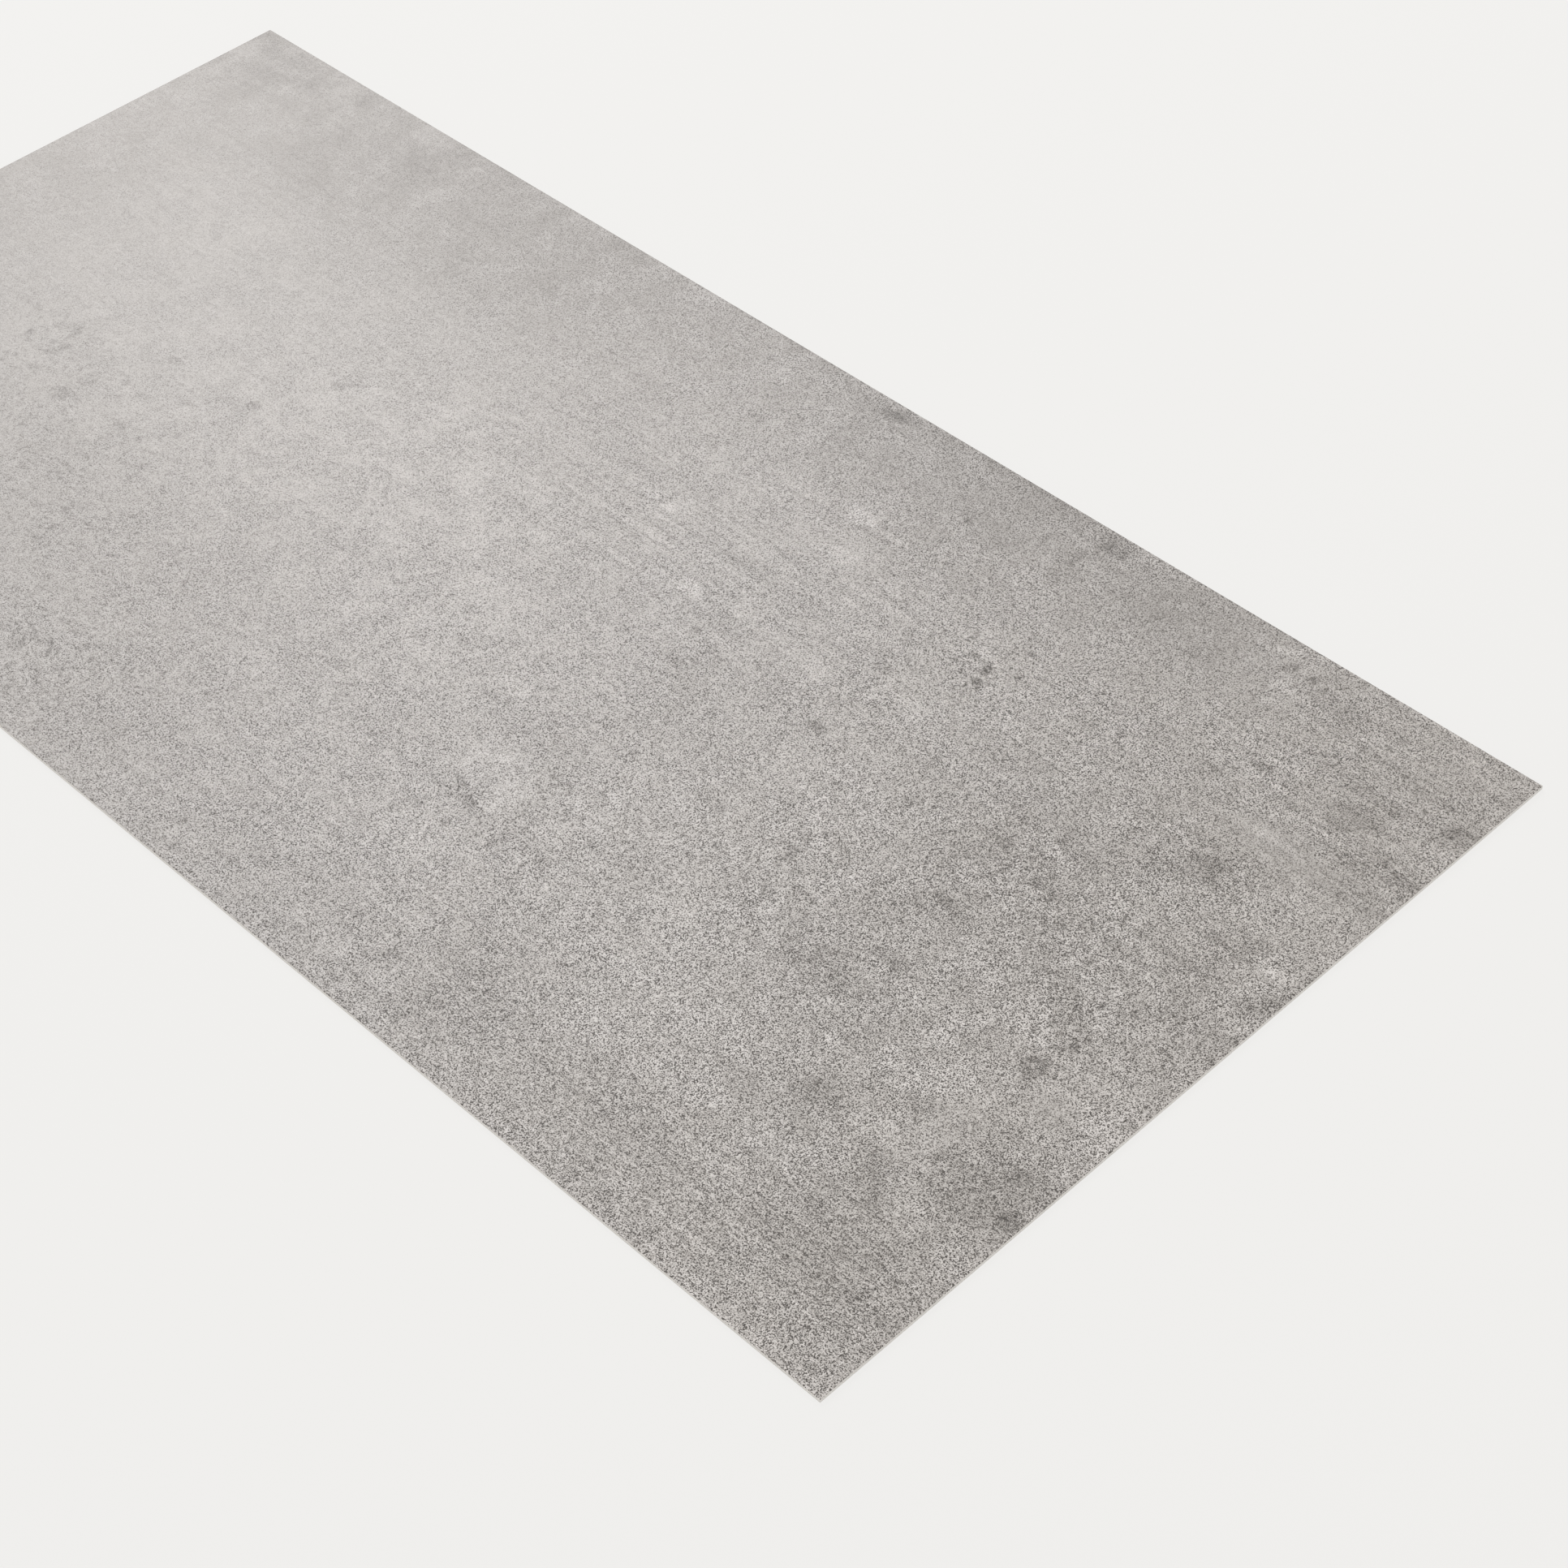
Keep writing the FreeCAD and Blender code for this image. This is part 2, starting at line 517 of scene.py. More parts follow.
def boldness(x, y):
    """How boldly the grain shows: faint at the left end, full towards the front right."""
    grows_from, grows_over = 60, 700
    faintest, rear_loss, rear_falloff = 0.16, 0.36, 1.2
    part = ((x - grows_from) / grows_over).clip(0, 1)
    along = faintest + (1 - faintest) * part**2 * (3 - 2 * part)
    return along * (1 - rear_loss * (y / WIDTH) ** rear_falloff)


# What the tile's points keep for the print
KEPT_ON_POINTS = [
    "shade",
    "contrast",
    "grain_ink_and_gap_shade_share",
    "pit_ink_and_shade_share",
    "dash_share",
    "pebble_share",
    "streak_share",
    "warmth",
    "mark_depth",
    "mark_levels",
    "patch_depth",
    "patch_levels",
    "line_across",
    "line_from_end",
    "line_levels",
]


# The tile as one closed sheet

COLUMNS, ROWS = 420, 210
BACK_STEP = 10
ARRIS_STEPS = (30, 60, 90)

# What each face is, in the order of the tile's materials.
WEAR_FACE, CUT_SIDE, BACK = range(3)


def ring(grid):
    """The outermost points of a grid of point numbers, once round."""
    return np.concatenate([grid[:-1, 0], grid[-1, :-1], grid[:0:-1, -1], grid[0, :0:-1]])


def rim_places(inset):
    """The ring's places in mm, the outline drawn in by that much."""
    xs = np.linspace(inset, LENGTH - inset, COLUMNS + 1)
    ys = np.linspace(inset, WIDTH - inset, ROWS + 1)
    grid_x, grid_y = np.meshgrid(xs, ys, indexing="ij")
    return ring(grid_x), ring(grid_y)


def press_sheet():
    """The sheet's points, its faces and what each face is."""
    top = np.arange((COLUMNS + 1) * (ROWS + 1)).reshape(COLUMNS + 1, ROWS + 1)
    xs = np.linspace(ARRIS, LENGTH - ARRIS, COLUMNS + 1)
    ys = np.linspace(ARRIS, WIDTH - ARRIS, ROWS + 1)
    x, y = (a.ravel() for a in np.meshgrid(xs, ys, indexing="ij"))
    places = [np.column_stack([x, y, np.full_like(x, THICKNESS)])]
    quads = np.column_stack(
        [top[:-1, :-1].ravel(), top[1:, :-1].ravel(), top[1:, 1:].ravel(), top[:-1, 1:].ravel()]
    )
    faces = quads.tolist()
    kinds = [WEAR_FACE] * len(faces)

    # Down round the arris in steps, then straight to the back.
    bands = []
    for angle in map(math.radians, ARRIS_STEPS):
        inset = ARRIS * (1 - math.sin(angle))
        height = THICKNESS - ARRIS * (1 - math.cos(angle))
        bands.append((inset, height, WEAR_FACE))
    bands.append((0.0, 0.0, CUT_SIDE))
    count = len(x)
    above = ring(top)
    for inset, height, kind in bands:
        rim_x, rim_y = rim_places(inset)
        places.append(np.column_stack([rim_x, rim_y, np.full_like(rim_x, height)]))
        below = count + np.arange(len(rim_x))
        count += len(rim_x)
        band = np.column_stack([above, below, np.roll(below, -1), np.roll(above, -1)])
        faces += band.tolist()
        kinds += [kind] * len(band)
        above = below

    # The back's outer cells share the ring's points, and its inner ones are coarser.
    back = np.full((COLUMNS + 1, ROWS + 1), -1)
    numbers = iter(above.tolist())
    for i, j in zip(*(ring(a).tolist() for a in np.indices(back.shape))):
        back[i, j] = next(numbers)
    coarse = []
    for i in range(BACK_STEP, COLUMNS, BACK_STEP):
        for j in range(BACK_STEP, ROWS, BACK_STEP):
            back[i, j] = count
            count += 1
            coarse.append((LENGTH * i / COLUMNS, WIDTH * j / ROWS, 0.0))
    places.append(np.array(coarse))
    for i in range(0, COLUMNS, BACK_STEP):
        for j in range(0, ROWS, BACK_STEP):
            cell = ring(back[i : i + BACK_STEP + 1, j : j + BACK_STEP + 1])
            faces.append([int(n) for n in cell[::-1] if n >= 0])
            kinds.append(BACK)
    return np.concatenate(places), faces, kinds


def emboss(x, y, depth_in, mark_levels, pebbled, streaky):
    """How far the press sinks each place of the wear face, in mm."""
    level_depth, broad_depth, pebble_depth, furrow_depth = 0.035, 0.012, 0.05, 0.03
    pit_depth, skin_height, deepest = 0.07, 0.03, 0.2
    broad_size, pebble_size, small_pebble_size = 70, 6.5, 4.6
    furrow_width, furrow_stretch = 5, 6
    slope, flat_rim = 2, 3

    broad = broad_depth * (1 + uneven(x, y, broad_size, 11))
    lumps = uneven(x, y, pebble_size, 12) + 0.5 * uneven(x, y, small_pebble_size, 13)
    pebbles = pebble_depth * pebbled * lumps.clip(-0.2, 1)
    grooves = uneven(x / furrow_stretch, y, furrow_width, 14)
    furrows = furrow_depth * streaky * grooves.clip(0, 1)
    pit = np.where(mark_levels < 0, pit_depth, 0.0) * (depth_in / slope).clip(0, 1)
    skin = np.where(mark_levels > 0, -skin_height, 0.0) * (depth_in / slope + 0.5).clip(0, 1)
    sunk = level_depth + broad + pebbles + furrows + pit + skin
    to_rim = np.minimum.reduce([x, LENGTH - x, y, WIDTH - y]) - ARRIS
    return sunk.clip(0, deepest) * (to_rim / flat_rim).clip(0, 1)


def print_shares(x, y, shade, ground):
    """How much of each of the print's layers a place shows; the grain's and the pits' dark
    layers are partly painted shade in the emboss's gaps. Plain ground shows little of a layer,
    and ground of the layer's own kind shows all of it."""
    grain_grows_from, grain_grows_over = 610, 110
    warms_from, warms_over = 550, 330
    bold = boldness(x, y)
    rough = (1 - 0.6 * ground["smooth"]) * (1 + 0.02 * (-shade).clip(0, 15))
    coarser = 1 + 0.22 * ((x - grain_grows_from) / grain_grows_over).clip(0, 1)
    return {
        "contrast": 0.3 + 0.7 * bold,
        "grain_ink_and_gap_shade_share": bold * rough * coarser * (1 - 0.25 * ground["dashed"]),
        "pit_ink_and_shade_share": (0.12 + 0.88 * bold) * rough * (0.36 + 0.64 * ground["pitted"]),
        "dash_share": bold * ground["dashed"],
        "pebble_share": (0.25 + 0.75 * ground["pebbled"]) * (0.3 + 0.7 * bold),
        "streak_share": (0.26 + 0.74 * ground["streaky"]) * (0.42 + 0.58 * bold),
        "warmth": 0.6 * ((x - warms_from) / warms_over).clip(0, 1),
    }


def make_tile():
    """The whole tile as one piece, with what the print needs kept on its points."""
    places, faces, kinds = press_sheet()
    x, y = places[:, 0], places[:, 1]
    moved_x, moved_y = wander(x, y)
    shade = soft_patches(moved_x, moved_y, PALE_CLOUDS + DARK_CLOUDS)
    ground = {name: cover(moved_x, moved_y, patches) for name, patches in GROUNDS.items()}

    # A crisp outline is pushed about by only an eighth as much as a soft one.
    crisp_push = 0.12
    edge_x = x + (moved_x - x) * crisp_push
    edge_y = y + (moved_y - y) * crisp_push
    mark_depth, mark_levels = crisp_marks(edge_x, edge_y)
    patch_depth, patch_levels = torn_patches(edge_x, edge_y)
    line_across, line_from_end, line_levels = drag_lines(edge_x, edge_y)

    face = slice(0, (COLUMNS + 1) * (ROWS + 1))
    pressed_by = (x, y, mark_depth, mark_levels, ground["pebbled"], ground["streaky"])
    places[face, 2] -= emboss(*(values[face] for values in pressed_by))

    shape = bpy.data.meshes.new("embossed_vinyl_tile")
    shape.from_pydata((places * MM + FRONT_LEFT).tolist(), [], faces)
    shape.polygons.foreach_set("material_index", kinds)
    shape.polygons.foreach_set("use_smooth", [True] * len(faces))

    # The edge between a cut side and the back bends more than this, and stays crisp.
    crisp_angle = math.radians(50)
    shape.set_sharp_from_angle(angle=crisp_angle)

    kept = {
        "shade": shade,
        **print_shares(x, y, shade, ground),
        "mark_depth": mark_depth,
        "mark_levels": mark_levels,
        "patch_depth": patch_depth,
        "patch_levels": patch_levels,
        "line_across": line_across,
        "line_from_end": line_from_end,
        "line_levels": line_levels,
    }
    for name in KEPT_ON_POINTS:
        values = kept[name]
        shape.attributes.new(name, "FLOAT", "POINT").data.foreach_set(
            "value", values.astype(np.float32)
        )
    tile = bpy.data.objects.new("embossed_vinyl_tile", shape)
    bpy.context.scene.collection.objects.link(tile)
    return tile


def read(items, name, kind, width=1):
    """That value of every item of a mesh, in rows where it has more than one number."""
    values = np.empty(len(items) * width, kind)
    items.foreach_get(name, values)
    return values.reshape(-1, width) if width > 1 else values


def unwrap(tile):
    """Lays the faces out in a UV map named OFBake: the wear face gets most of the square."""
    shape = tile.data
    layout = shape.uv_layers.new(name="OFBake")
    places = (read(shape.vertices, "co", np.float32, 3) - FRONT_LEFT) / MM
    corners = read(shape.loops, "vertex_index", np.int32)
    sizes = read(shape.polygons, "loop_total", np.int32)
    normals = read(shape.polygons, "normal", np.float32, 3)
    kinds = read(shape.polygons, "material_index", np.int32)
    face_of = np.repeat(np.arange(len(sizes)), sizes)

    margin, gap = 0.005, 0.004
    face_low, back_high, strip = 0.255, 0.19, 0.012
    leaning_out = 0.2
    x, y, z = (places[corners, axis] for axis in range(3))
    u = margin + (1 - 2 * margin) * x / LENGTH
    v = face_low + (1 - margin - face_low) * y / WIDTH
    is_back = kinds[face_of] == BACK
    v[is_back] = margin + (back_high - margin) * y[is_back] / WIDTH

    # The cut sides and the arris lie in four strips between the two faces.
    out = normals[face_of]
    is_side = ~is_back & (np.hypot(out[:, 0], out[:, 1]) > leaning_out)
    faces_x = np.abs(out[:, 0]) > np.abs(out[:, 1])
    for number, (turned_x, sign) in enumerate([(False, -1), (False, 1), (True, -1), (True, 1)]):
        axis = 0 if turned_x else 1
        chosen = is_side & (faces_x == turned_x) & (np.sign(out[:, axis]) == sign)
        run = y / WIDTH if turned_x else x / LENGTH
        u[chosen] = margin + (1 - 2 * margin) * run[chosen]
        floor = back_high + gap + number * (strip + gap)
        v[chosen] = floor + strip * z[chosen] / THICKNESS
    layout.data.foreach_set("uv", np.column_stack([u, v]).ravel().astype(np.float32))


# Materials

VINYL_IOR = 1.5


def start_material(name):
    """A new material and its empty node tree."""
    material = bpy.data.materials.new(name)
    material.use_nodes = True
    tree = material.node_tree
    tree.nodes.clear()
    return material, tree


def close_material(tree, shader):
    """Gives the shader to the material's output."""
    add(tree, "ShaderNodeOutputMaterial", {"Surface": shader})


def in_millimetres(tree):
    """Object coordinates, counted in millimetres."""
    place = add(tree, "ShaderNodeTexCoord").outputs["Object"]
    counted = add(tree, "ShaderNodeVectorMath", {0: place, "Scale": 1 / MM}, operation="SCALE")
    return counted.outputs[0]


def print_patterns(tree, place):
    """The uneven patterns that the print is made of."""
    # Wet cement was stirred, so everything broad is pushed about and nothing is regular.
    stir_size, stir_reach = 55, 36
    push = add(
        tree, "ShaderNodeTexNoise", {"Vector": place, "Scale": 1 / stir_size, "Detail": 3.0}
    ).outputs["Color"]
    push = add(
        tree, "ShaderNodeVectorMath", {0: push, 1: (0.5, 0.5, 0.5)}, operation="SUBTRACT"
    ).outputs[0]
    pushed = add(
        tree,
        "ShaderNodeVectorMath",
        {0: push, 1: (stir_reach, stir_reach, 0), 2: place},
        operation="MULTIPLY_ADD",
    ).outputs[0]

    # Places along the tile are drawn together, so that a lump becomes a streak or a dash,
    # and the streaks sway a little to the side.
    streak_squeeze, streak_sway, dash_squeeze = 0.045, 4, 0.26
    along_trowel = add(
        tree,
        "ShaderNodeVectorMath",
        {0: place, 1: (streak_squeeze, 1, 1)},
        operation="MULTIPLY",
    ).outputs[0]
    along_trowel = add(
        tree,
        "ShaderNodeVectorMath",
        {0: push, 1: (0, streak_sway, 0), 2: along_trowel},
        operation="MULTIPLY_ADD",
    ).outputs[0]
    along_dashes = add(
        tree,
        "ShaderNodeVectorMath",
        {0: place, 1: (dash_squeeze, 1, 1)},
        operation="MULTIPLY",
    ).outputs[0]

    # Each pattern's size in mm, detail, roughness, and the places that it follows.
    patterns = {}
    for name, size, detail, roughness, places in (
        ("clouds", 135, 2.0, 0.5, pushed),
        ("mottle", 24, 7.0, 0.68, pushed),
        ("blotches", 7, 4.0, 0.62, pushed),
        ("streaks", 3.0, 3.0, 0.6, along_trowel),
        ("dashes", 0.95, 1.0, 0.5, along_dashes),
        ("pebbles", 3.1, 2.0, 0.55, pushed),
        ("pits", 1.25, 1.0, 0.5, place),
        ("grain", 0.58, 1.0, 0.5, place),
    ):
        patterns[name] = add(
            tree,
            "ShaderNodeTexNoise",
            {"Vector": places, "Scale": 1 / size, "Detail": detail, "Roughness": roughness},
        ).outputs["Fac"]
    return patterns


def uneven_shares(tree, patterns, kept):
    """How much of each layer shows from place to place: the soft patches are ragged, and
    the grain and its pits crowd where the cement's skin is rough."""
    shares = {}
    for name, pattern, low, high, at_low, at_high, share in (
        ("shade", "mottle", 0.38, 0.62, 0.4, 1.8, "shade"),
        ("grain", "mottle", 0.45, 0.55, 1.14, 0.84, "grain_ink_and_gap_shade_share"),
        ("crowded", "blotches", 0.36, 0.6, 1.6, 0.3, "pit_ink_and_shade_share"),
        ("drying", "blotches", 0.42, 0.52, 1.0, 0.0, "contrast"),
    ):
        swing = add(
            tree,
            "ShaderNodeMapRange",
            {
                "Value": patterns[pattern],
                "From Min": low,
                "From Max": high,
                "To Min": at_low,
                "To Max": at_high,
            },
        ).outputs[0]
        shares[name] = add(
            tree, "ShaderNodeMath", {0: swing, 1: kept[share]}, operation="MULTIPLY"
        ).outputs[0]
    return shares


def cement_tone(tree, patterns, kept):
    """The plain cement's tone, from 0 for the darkest ink to 1 for the lightest."""
    shares = uneven_shares(tree, patterns, kept)

    # The cement's skin ends in drying lines, a millimetre wide and a little darker.
    from_edge = add(
        tree, "ShaderNodeMath", {0: patterns["mottle"], 1: 0.5}, operation="SUBTRACT"
    ).outputs[0]
    from_edge = add(tree, "ShaderNodeMath", {0: from_edge}, operation="ABSOLUTE").outputs[0]

    # A layer adds its levels from where its pattern is nought to where it is full. The first
    # six swing both ways about nought. The pits' and the grain's dark layers fall where the
    # bump sinks: they are the print's dark specks and partly painted shade in the emboss's pits
    # and gaps.
    mean_level = 156.8
    tone = add(
        tree,
        "ShaderNodeMath",
        {0: shares["shade"], 1: LEVEL, 2: (mean_level - DARKEST_INK) * LEVEL},
        operation="MULTIPLY_ADD",
    ).outputs[0]
    swings, clipped = False, True
    for pattern, nought, full, clamp, share, levels in (
        (patterns["clouds"], 0.5, 1.5, swings, kept["contrast"], 18),
        (patterns["mottle"], 0.5, 1.5, swings, kept["contrast"], 22),
        (patterns["blotches"], 0.5, 1.5, swings, kept["contrast"], 24),
        (patterns["streaks"], 0.5, 1.5, swings, kept["streak_share"], 84),
        (patterns["dashes"], 0.5, 1.5, swings, kept["streak_share"], 30),
        (patterns["pebbles"], 0.5, 1.5, swings, kept["pebble_share"], 50),
        (patterns["pebbles"], 0.42, 0.35, clipped, kept["pebble_share"], -34),
        (patterns["mottle"], 0.485, 0.515, clipped, kept["contrast"], 5),
        (from_edge, 0.01, 0.002, clipped, shares["drying"], -20),
        (patterns["dashes"], 0.46, 0.34, clipped, kept["dash_share"], -48),
        # Print, and partly painted shade in the pits and gaps that the bump sinks.
        (patterns["pits"], 0.43, 0.29, clipped, shares["crowded"], -46),
        (patterns["grain"], 0.5, 0.22, clipped, shares["grain"], -182),
        (patterns["grain"], 0.3, 0.64, clipped, shares["grain"], 41),
    ):
        layer = add(
            tree,
            "ShaderNodeMapRange",
            {"Value": pattern, "From Min": nought, "From Max": full},
            clamp=clamp,
        ).outputs[0]
        layer = add(
            tree, "ShaderNodeMath", {0: layer, 1: share}, operation="MULTIPLY"
        ).outputs[0]
        tone = add(
            tree,
            "ShaderNodeMath",
            {0: layer, 1: levels * LEVEL, 2: tone},
            operation="MULTIPLY_ADD",
        ).outputs[0]
    return tone


def inside_marks(tree, patterns, kept):
    """Where the crisp marks and the torn patches are, 0 to 1. Their outlines are frayed by
    the finer patterns, by some millimetres, and the marks are pitted."""
    just_outside, just_inside = -0.25, 0.3
    inside = {}
    for kind, broad_fray, fine_fray in (("mark", 4.0, 2.8), ("patch", 5.0, 2.2)):
        frayed = kept[kind + "_depth"]
        for pattern, reach in (("blotches", broad_fray), ("pits", fine_fray)):
            centred = add(
                tree, "ShaderNodeMath", {0: patterns[pattern], 1: 0.5}, operation="SUBTRACT"
            ).outputs[0]
            frayed = add(
                tree,
                "ShaderNodeMath",
                {0: centred, 1: reach, 2: frayed},
                operation="MULTIPLY_ADD",
            ).outputs[0]
        inside[kind] = add(
            tree,
            "ShaderNodeMapRange",
            {"Value": frayed, "From Min": just_outside, "From Max": just_inside},
        ).outputs[0]
    pitted = add(
        tree,
        "ShaderNodeMapRange",
        {
            "Value": patterns["pits"],
            "From Min": 0.6,
            "From Max": 0.36,
            "To Min": 0.5,
            "To Max": 1.7,
        },
    ).outputs[0]
    inside["mark"] = add(
        tree, "ShaderNodeMath", {0: inside["mark"], 1: pitted}, operation="MULTIPLY"
    ).outputs[0]
    return inside


def on_drag_lines(tree, patterns, kept):
    """Where the drag lines are, 0 to 1: fainter where the cement's skin is whole, and
    thinning out over their last millimetres."""
    line_edge, line_core, thinning = 1.6, 0.5, 5.0
    beside = add(
        tree, "ShaderNodeMath", {0: kept["line_across"]}, operation="ABSOLUTE"
    ).outputs[0]
    on_line = add(
        tree,
        "ShaderNodeMapRange",
        {"Value": beside, "From Min": line_edge, "From Max": line_core},
    ).outputs[0]
    from_end = add(
        tree,
        "ShaderNodeMapRange",
        {"Value": kept["line_from_end"], "From Min": 0.0, "From Max": thinning},
    ).outputs[0]
    worn = add(
        tree,
        "ShaderNodeMapRange",
        {
            "Value": patterns["blotches"],
            "From Min": 0.6,
            "From Max": 0.45,
            "To Min": 0.55,
            "To Max": 1.0,
        },
    ).outputs[0]
    line = add(
        tree, "ShaderNodeMath", {0: on_line, 1: from_end}, operation="MULTIPLY"
    ).outputs[0]
    return add(tree, "ShaderNodeMath", {0: line, 1: worn}, operation="MULTIPLY").outputs[0]


def printed_colour(tree, patterns, kept):
    """The print's warm grey inks, with a hue that drifts a little, from cool over most of
    the face to warm at its right."""
    tone = cement_tone(tree, patterns, kept)
    inside = inside_marks(tree, patterns, kept)
    line = on_drag_lines(tree, patterns, kept)
    for where, levels in (
        (inside["mark"], kept["mark_levels"]),
        (inside["patch"], kept["patch_levels"]),
        (line, kept["line_levels"]),
    ):
        part = add(
            tree, "ShaderNodeMath", {0: where, 1: levels}, operation="MULTIPLY"
        ).outputs[0]
        tone = add(
            tree, "ShaderNodeMath", {0: part, 1: LEVEL, 2: tone}, operation="MULTIPLY_ADD"
        ).outputs[0]

    inks = add(tree, "ShaderNodeValToRGB", {"Fac": tone})
    stops = inks.color_ramp.elements
    shades = ["#4B4642", "#736E6A", "#9B9692", "#C3BEBB", "#EBE6E4"]
    while len(stops) < len(shades):
        stops.new(0.5)
    for number, shade in enumerate(shades):
        stops[number].position = number / (len(shades) - 1)
        stops[number].color = linear(shade)

    mottle_warmth = 0.8
    drift = add(
        tree,
        "ShaderNodeMath",
        {0: patterns["mottle"], 1: mottle_warmth, 2: kept["warmth"]},
        operation="MULTIPLY_ADD",
    ).outputs[0]
    tint = add(tree, "ShaderNodeValToRGB", {"Fac": drift})
    tint.color_ramp.elements[0].position = 0.3
    tint.color_ramp.elements[0].color = linear("#FFFFFF")
    tint.color_ramp.elements[1].position = 1.0
    tint.color_ramp.elements[1].color = linear("#FFFEFB")
    return add(
        tree,
        "ShaderNodeMix",
        {0: 1.0, 6: inks.outputs["Color"], 7: tint.outputs["Color"]},
        data_type="RGBA",
        blend_type="MULTIPLY",
    ).outputs[2]


def pressed_grain(tree, patterns, kept):
    """The embossing roll's fine grain: its lumps stand about a tenth of a millimetre above
    its gaps, and less where the print is plain."""
    pit_swing, pebble_swing, lumpy_swing = 1.6, 1.6, 3.5
    lumpy = add(
        tree,
        "ShaderNodeMath",
        {0: patterns["pebbles"], 1: kept["pebble_share"]},
        operation="MULTIPLY",
    ).outputs[0]
    height = patterns["grain"]
    for pattern, swing in (
        (patterns["pits"], pit_swing),
        (patterns["pebbles"], pebble_swing),
        (lumpy, lumpy_swing),
    ):
        height = add(
            tree,
            "ShaderNodeMath",
            {0: pattern, 1: swing, 2: height},
            operation="MULTIPLY_ADD",
        ).outputs[0]
    deepest = 0.3 * MM
    bite = add(
        tree, "ShaderNodeMath", {0: kept["contrast"], 1: 0.9}, operation="MULTIPLY"
    ).outputs[0]
    return add(
        tree, "ShaderNodeBump", {"Height": height, "Strength": bite, "Distance": deepest}
    ).outputs["Normal"]


def embossed_wear_face():
    """Concrete print on film under a clear, matte vinyl wear layer, pressed against an
    embossing roll: a soft sheen, and a fine grain of light lumps with dark gaps, darkened by
    the print and partly by painted shade."""
    material, tree = start_material("embossed_vinyl_wear_layer_over_concrete_print")
    kept = {}
    for name in KEPT_ON_POINTS:
        kept[name] = add(tree, "ShaderNodeAttribute", attribute_name=name).outputs["Fac"]
    patterns = print_patterns(tree, in_millimetres(tree))

    # The gaps of the grain are duller than its lumps, which the roll has polished.
    gap_roughness, lump_roughness = 0.62, 0.5
    gloss = add(
        tree,
        "ShaderNodeMapRange",
        {
            "Value": patterns["grain"],
            "From Min": 0.3,
            "From Max": 0.7,
            "To Min": gap_roughness,
            "To Max": lump_roughness,
        },
    ).outputs[0]
    shader = add(
        tree,
        "ShaderNodeBsdfPrincipled",
        {
            "Base Color": printed_colour(tree, patterns, kept),
            "Roughness": gloss,
            "IOR": VINYL_IOR,
            "Normal": pressed_grain(tree, patterns, kept),
        },
    ).outputs["BSDF"]
    close_material(tree, shader)
    return material


def die_cut_edge():
    """Filled vinyl cut by a steel die: chalky light grey with fine mineral specks and
    faint upright drag marks from the blade."""
    material, tree = start_material("die_cut_filled_vinyl")
    speck_size, drag_spacing, drag_squeeze = 0.9, 1.6, 0.1
    place = in_millimetres(tree)
    speck = add(
        tree, "ShaderNodeTexNoise", {"Vector": place, "Scale": 1 / speck_size, "Detail": 3.0}
    ).outputs["Fac"]
    upright = add(
        tree,
        "ShaderNodeVectorMath",
        {0: place, 1: (1, 1, drag_squeeze)},
        operation="MULTIPLY",
    ).outputs[0]
    blade = add(
        tree,
        "ShaderNodeTexNoise",
        {"Vector": upright, "Scale": 1 / drag_spacing, "Detail": 2.0},
    ).outputs["Fac"]
    filler = add(tree, "ShaderNodeValToRGB", {"Fac": speck})
    filler.color_ramp.elements[0].position = 0.32
    filler.color_ramp.elements[0].color = linear("#C3BFB9")
    filler.color_ramp.elements[1].position = 0.66
    filler.color_ramp.elements[1].color = linear("#D6D3CE")
    height = add(
        tree, "ShaderNodeMath", {0: blade, 1: 1.2, 2: speck}, operation="MULTIPLY_ADD"
    ).outputs[0]
    bump = add(
        tree, "ShaderNodeBump", {"Height": height, "Strength": 0.4, "Distance": 0.2 * MM}
    ).outputs["Normal"]
    gloss = add(
        tree, "ShaderNodeMapRange", {"Value": blade, "To Min": 0.72, "To Max": 0.86}
    ).outputs[0]
    shader = add(
        tree,
        "ShaderNodeBsdfPrincipled",
        {
            "Base Color": filler.outputs["Color"],
            "Roughness": gloss,
            "IOR": VINYL_IOR,
            "Normal": bump,
        },
    ).outputs["BSDF"]
    close_material(tree, shader)
    return material


def calendered_back():
    """Calendered filled vinyl: a plain mid grey back with a fine pebble grain for the
    adhesive to grip."""
    material, tree = start_material("calendered_vinyl_back")
    pebble_size, cloud_size, speck_size = 1.8, 60, 2.2
    place = in_millimetres(tree)
    pebble = add(
        tree,
        "ShaderNodeTexVoronoi",
        {"Vector": place, "Scale": 1 / pebble_size, "Randomness": 0.9},
    ).outputs["Distance"]
    cloud = add(
        tree, "ShaderNodeTexNoise", {"Vector": place, "Scale": 1 / cloud_size, "Detail": 4.0}
    ).outputs["Fac"]
    speck = add(
        tree, "ShaderNodeTexNoise", {"Vector": place, "Scale": 1 / speck_size, "Detail": 3.0}
    ).outputs["Fac"]
    mixed = add(
        tree, "ShaderNodeMath", {0: speck, 1: 0.6, 2: cloud}, operation="MULTIPLY_ADD"
    ).outputs[0]
    greys = add(tree, "ShaderNodeValToRGB", {"Fac": mixed})
    greys.color_ramp.elements[0].position = 0.55
    greys.color_ramp.elements[0].color = linear("#7F7C78")
    greys.color_ramp.elements[1].position = 1.0
    greys.color_ramp.elements[1].color = linear("#989590")
    bump = add(
        tree, "ShaderNodeBump", {"Height": pebble, "Strength": 0.5, "Distance": 0.3 * MM}
    ).outputs["Normal"]
    gloss = add(
        tree, "ShaderNodeMapRange", {"Value": speck, "To Min": 0.6, "To Max": 0.78}
    ).outputs[0]
    shader = add(
        tree,
        "ShaderNodeBsdfPrincipled",
        {
            "Base Color": greys.outputs["Color"],
            "Roughness": gloss,
            "IOR": VINYL_IOR,
            "Normal": bump,
        },
    ).outputs["BSDF"]
    close_material(tree, shader)
    return material


# The studio

BACKGROUND = "#EFEEEC"


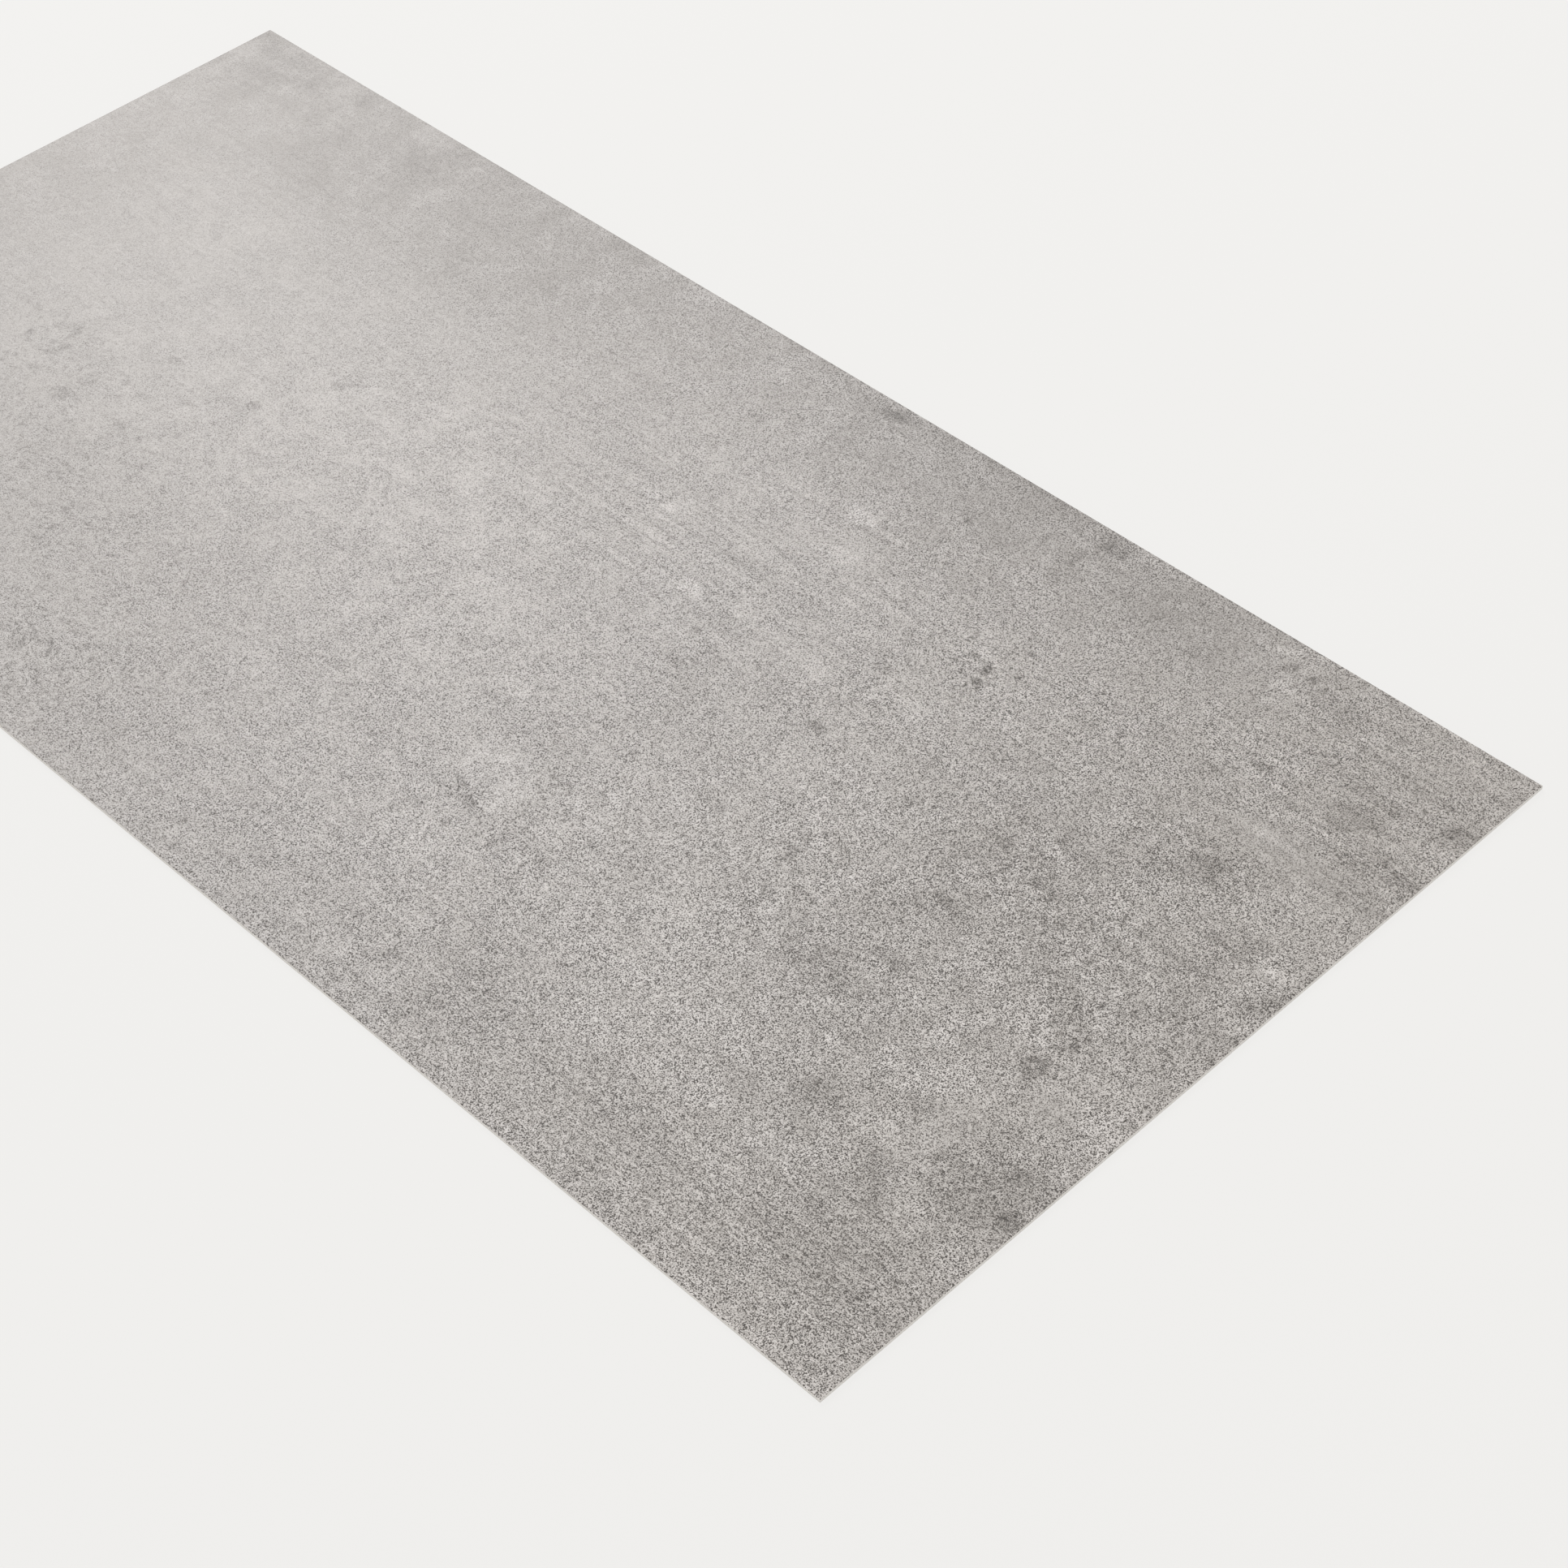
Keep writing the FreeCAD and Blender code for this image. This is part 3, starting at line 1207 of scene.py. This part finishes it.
def lay_floor():
    """A matte pale floor, mostly of the backdrop's own colour to the camera, so that only
    a faint shadow of the tile shows on it."""
    plain_strength, plain_share = 1.01, 0.92
    half_side, below = 40.0, 0.05 * MM
    material, tree = start_material("matte_pale_floor")
    paint = add(tree, "ShaderNodeBsdfDiffuse", {"Color": linear(BACKGROUND)}).outputs["BSDF"]
    plain = add(
        tree,
        "ShaderNodeEmission",
        {"Color": linear(BACKGROUND), "Strength": plain_strength},
    ).outputs["Emission"]
    seen = add(tree, "ShaderNodeLightPath").outputs["Is Camera Ray"]
    share = add(
        tree, "ShaderNodeMath", {0: seen, 1: plain_share}, operation="MULTIPLY"
    ).outputs[0]
    shader = add(
        tree, "ShaderNodeMixShader", {0: share, 1: paint, 2: plain}
    ).outputs["Shader"]
    close_material(tree, shader)

    corners = [
        (-half_side, -half_side, -below),
        (half_side, -half_side, -below),
        (half_side, half_side, -below),
        (-half_side, half_side, -below),
    ]
    shape = bpy.data.meshes.new("floor")
    shape.from_pydata(corners, [], [(0, 1, 2, 3)])
    shape.materials.append(material)
    floor = bpy.data.objects.new("floor", shape)
    bpy.context.scene.collection.objects.link(floor)


def light_studio():
    """An even room, one large soft window behind the tile's left end, and a low soft fill
    from the front right that lights the cut sides."""
    room_strength, window_watts, fill_strength = 0.59, 62, 1.7
    world = bpy.data.worlds.new("plain_studio")
    bpy.context.scene.world = world
    world.use_nodes = True
    tree = world.node_tree
    tree.nodes.clear()
    room = add(
        tree, "ShaderNodeBackground", {"Color": linear("#FFFFFF"), "Strength": room_strength}
    ).outputs["Background"]
    backdrop = add(
        tree, "ShaderNodeBackground", {"Color": linear(BACKGROUND), "Strength": 1.0}
    ).outputs["Background"]
    seen = add(tree, "ShaderNodeLightPath").outputs["Is Camera Ray"]
    shader = add(
        tree, "ShaderNodeMixShader", {0: seen, 1: room, 2: backdrop}
    ).outputs["Shader"]
    add(tree, "ShaderNodeOutputWorld", {"Surface": shader})

    window = bpy.data.lights.new("window", "AREA")
    window.shape = "DISK"
    window.size = 2.0
    window.energy = window_watts
    fill = bpy.data.lights.new("fill", "SUN")
    fill.angle = math.radians(30)
    fill.energy = fill_strength
    for lamp, place in ((window, (-1.9, 1.15, 1.6)), (fill, (2.9, -2.9, 0.7))):
        holder = bpy.data.objects.new(lamp.name, lamp)
        bpy.context.scene.collection.objects.link(holder)
        holder.location = place
        aim = Vector((0.0, 0.0, 0.0)) - holder.location
        holder.rotation_euler = aim.to_track_quat("-Z", "Y").to_euler()
        holder.visible_glossy = lamp == window


def place_camera():
    """The photograph's own viewpoint, found from the tile's corners and its 2 to 1 face."""
    camera = bpy.data.cameras.new("camera")
    camera.sensor_width = 36
    camera.lens = 77.16
    holder = bpy.data.objects.new("camera", camera)
    bpy.context.scene.collection.objects.link(holder)
    azimuth, elevation, roll = (math.radians(a) for a in (47.281, 44.870, -2.651))
    holder.matrix_world = (
        Matrix.Translation((1.000868, -0.734498, 1.073269))
        @ Matrix.Rotation(azimuth, 4, "Z")
        @ Matrix.Rotation(math.pi / 2 - elevation, 4, "X")
        @ Matrix.Rotation(roll, 4, "Z")
    )
    bpy.context.scene.camera = holder


tile = make_tile()
unwrap(tile)
for material in (embossed_wear_face(), die_cut_edge(), calendered_back()):
    tile.data.materials.append(material)
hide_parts("vinyl_tile")
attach(tile, "root")

lay_floor()
light_studio()
place_camera()
bpy.context.scene.view_settings.view_transform = "Standard"
